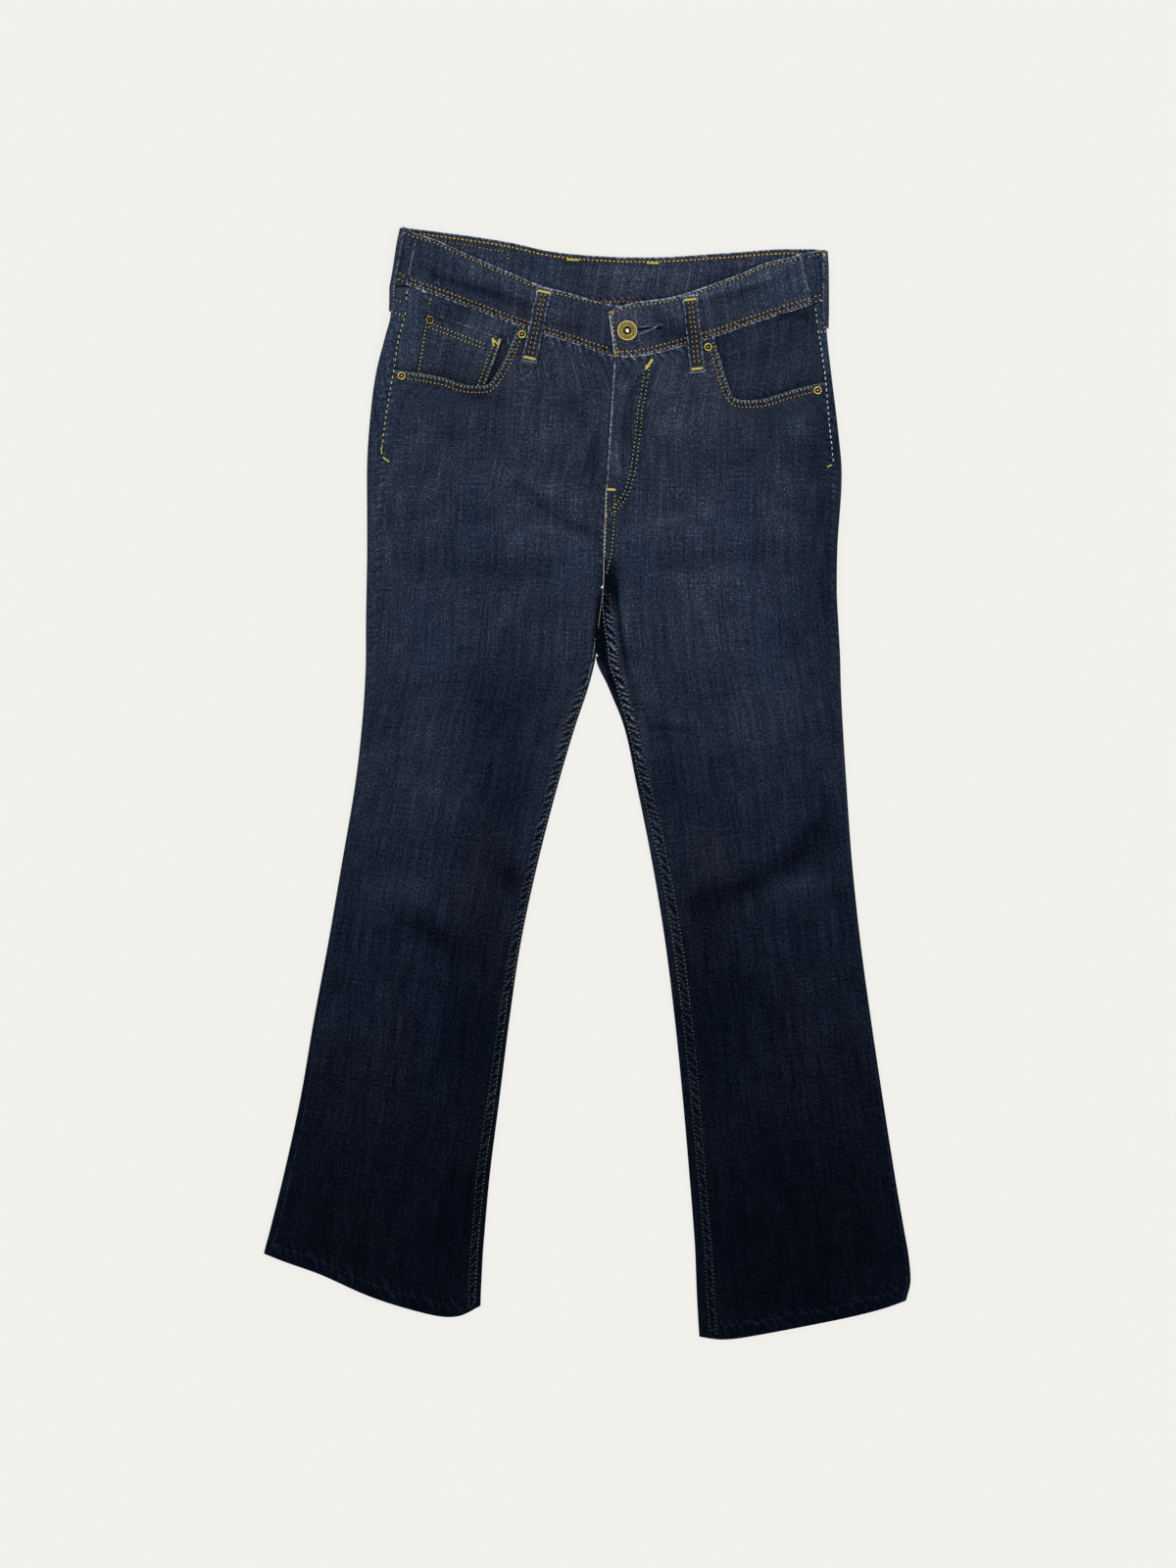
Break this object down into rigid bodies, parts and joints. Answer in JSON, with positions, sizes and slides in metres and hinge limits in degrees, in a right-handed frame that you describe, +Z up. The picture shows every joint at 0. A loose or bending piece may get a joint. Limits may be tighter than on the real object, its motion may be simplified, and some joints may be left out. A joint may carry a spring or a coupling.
{
  "type": "bootcut jeans",
  "caption": "Dark denim trousers laid flat, front up, with a buttoned waistband, scoop front pockets, a coin pocket, belt loops and legs that widen towards the hem.",
  "frame": {"origin": "middle of the garment's box at the surface it lies on", "axes": "+X to the wearer's left, +Y along the garment to the waistband, +Z up, out of the front"},
  "size_m": [0.6077, 1.0445, 0.0126],
  "materials": {
    "front_right": "dark indigo denim twill, matt, with orange and yellow topstitching",
    "front_left": "dark indigo denim twill, matt, with orange and yellow topstitching",
    "back_right": "dark indigo denim twill, matt, with orange and yellow topstitching",
    "back_left": "dark indigo denim twill, matt, with orange and yellow topstitching",
    "yoke_right": "dark indigo denim twill, matt, with orange and yellow topstitching",
    "yoke_left": "dark indigo denim twill, matt, with orange and yellow topstitching",
    "facing_right": "dark indigo denim twill, matt, with orange and yellow topstitching",
    "facing_left": "dark indigo denim twill, matt, with orange and yellow topstitching",
    "waistband_back": "dark indigo denim twill, matt, with orange and yellow topstitching",
    "waistband_right": "dark indigo denim twill, matt, with orange and yellow topstitching",
    "waistband_left": "dark indigo denim twill, matt, with orange and yellow topstitching",
    "coin_pocket": "dark indigo denim twill, matt, with orange and yellow topstitching",
    "loop_front_right": "dark indigo denim twill, matt, with orange and yellow topstitching",
    "loop_front_left": "dark indigo denim twill, matt, with orange and yellow topstitching",
    "loop_side_right": "dark indigo denim twill, matt, with orange and yellow topstitching",
    "loop_side_left": "dark indigo denim twill, matt, with orange and yellow topstitching",
    "loop_back_right": "dark indigo denim twill, matt, with orange and yellow topstitching",
    "loop_back_left": "dark indigo denim twill, matt, with orange and yellow topstitching",
    "back_pocket_right": "dark indigo denim twill, matt, with orange and yellow topstitching",
    "back_pocket_left": "dark indigo denim twill, matt, with orange and yellow topstitching",
    "button": "aged brass, satin, darker in its hollows",
    "rivet_coin_pocket": "aged brass, satin, darker in its hollows",
    "rivet_right_side": "aged brass, satin, darker in its hollows",
    "rivet_right_front": "aged brass, satin, darker in its hollows",
    "rivet_left_front": "aged brass, satin, darker in its hollows",
    "rivet_left_side": "aged brass, satin, darker in its hollows"
  },
  "bodies": {
    "root": {"front_right": "front_right", "front_left": "front_left", "back_right": "back_right", "back_left": "back_left", "yoke_right": "yoke_right", "yoke_left": "yoke_left", "facing_right": "facing_right", "facing_left": "facing_left", "waistband_back": "waistband_back", "waistband_right": "waistband_right", "waistband_left": "waistband_left", "coin_pocket": "coin_pocket", "loop_front_right": "loop_front_right", "loop_front_left": "loop_front_left", "loop_side_right": "loop_side_right", "loop_side_left": "loop_side_left", "loop_back_right": "loop_back_right", "loop_back_left": "loop_back_left", "back_pocket_right": "back_pocket_right", "back_pocket_left": "back_pocket_left", "button": "button", "rivet_coin_pocket": "rivet_coin_pocket", "rivet_right_side": "rivet_right_side", "rivet_right_front": "rivet_right_front", "rivet_left_front": "rivet_left_front", "rivet_left_side": "rivet_left_side"}
  },
  "joints": []
}
